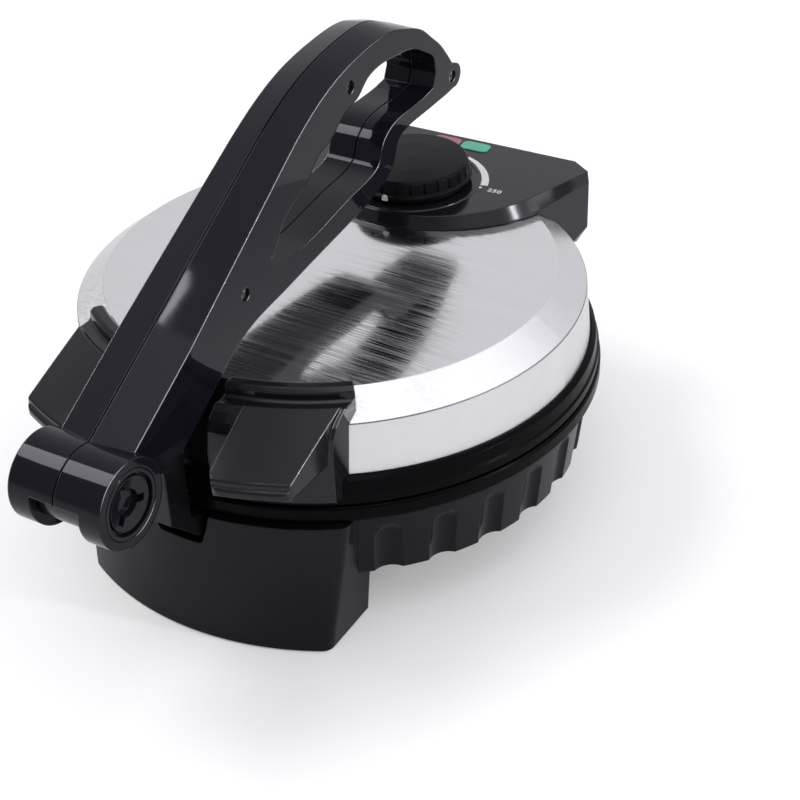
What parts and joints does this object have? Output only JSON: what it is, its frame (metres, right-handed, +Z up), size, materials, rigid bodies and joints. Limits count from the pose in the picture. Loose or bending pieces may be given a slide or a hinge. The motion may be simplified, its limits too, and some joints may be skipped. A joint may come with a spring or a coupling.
{
  "type": "electric roti maker",
  "caption": "Round electric roti maker: hinged steel lid with lifting wings and a thermostat knob, heated plates, and a long press lever on a front bracket.",
  "frame": {"origin": "on the table, in the middle of the whole length and width; the axis of the round heating plates is 31.35 mm behind it", "axes": "+Z up, +Y to the lid hinge at the back, +X to the right seen from the lever's pivot"},
  "size_m": [0.2926, 0.4007, 0.2589],
  "materials": {
    "base_plastic": "glossy black moulding",
    "lid_plastic": "glossy black moulding",
    "lever_plastic": "glossy black moulding",
    "knob_plastic": "semi-gloss black",
    "bush_plastic": "natural acetal",
    "terminal_plastic": "ivory",
    "soft_rubber": "matte black rubber",
    "cover_steel": "satin black paint",
    "bracket_metal": "gloss black paint",
    "screw_steel": "zinc plated",
    "pin_steel": "bright steel",
    "lid_steel": "brushed stainless steel with a polished shoulder",
    "plate_coating": "dark non-stick coating on cast aluminium",
    "element_steel": "oxidised sheath",
    "shield_aluminium": "bright sheet",
    "thermostat_metal": "plated",
    "lamp_glass": "clear neon lamp",
    "red_lens": "dull red",
    "green_lens": "dull green"
  },
  "bodies": {
    "base": {"base_bowl": "base_plastic", "base_rim": "base_plastic", "front_plinth": "base_plastic", "rear_block": "base_plastic", "hinge_lug_left": "base_plastic", "hinge_lug_right": "base_plastic", "cord_gland": "soft_rubber", "bottom_cover": "cover_steel", "cover_screws": "screw_steel", "terminal_block": "terminal_plastic", "rubber_feet": "soft_rubber", "lower_heating_plate": "plate_coating", "lower_heating_element": "element_steel", "lower_heat_shield": "shield_aluminium", "lower_plate_studs": "screw_steel", "hinge_pin": "pin_steel", "lever_bracket": "bracket_metal", "bracket_bolts": "screw_steel", "lever_pivot_pin": "pin_steel"},
    "lid": {"lid_cover": "lid_steel", "lid_ring": "lid_plastic", "wing_left": "lid_plastic", "wing_right": "lid_plastic", "control_housing": "lid_plastic", "housing_floor": "lid_plastic", "indicator_lamps": "lamp_glass", "lid_hinge_bracket": "lid_plastic", "red_lens": "red_lens", "green_lens": "green_lens", "thermostat": "thermostat_metal", "upper_heating_plate": "plate_coating", "upper_heating_element": "element_steel", "upper_heat_shield": "shield_aluminium", "upper_plate_studs": "screw_steel"},
    "knob": {"thermostat_knob": "knob_plastic", "thermostat_shaft": "pin_steel"},
    "lever": {"lever_left_shell": "lever_plastic", "lever_right_shell": "lever_plastic", "lever_screws": "screw_steel", "pivot_caps": "lever_plastic", "pivot_bushes": "bush_plastic"}
  },
  "joints": [
    {"name": "lid_hinge", "type": "hinge", "parent": "base", "child": "lid", "pos_m": [0, 0.18335, 0.09], "axis": [-1, 0, 0], "range_deg": [0, 100]},
    {"name": "lever_hinge", "type": "hinge", "parent": "base", "child": "lever", "pos_m": [0, -0.17815, 0.1285], "axis": [1, 0, 0], "range_deg": [0, 170]},
    {"name": "knob_turn", "type": "hinge", "parent": "lid", "child": "knob", "pos_m": [0, 0.11935, 0.155], "axis": [0, 0, 1], "range_deg": [-270, 0]}
  ],
  "couplings": [
    {"joint": "lever_hinge", "follows": "lid_hinge", "ratio": 1.7}
  ]
}
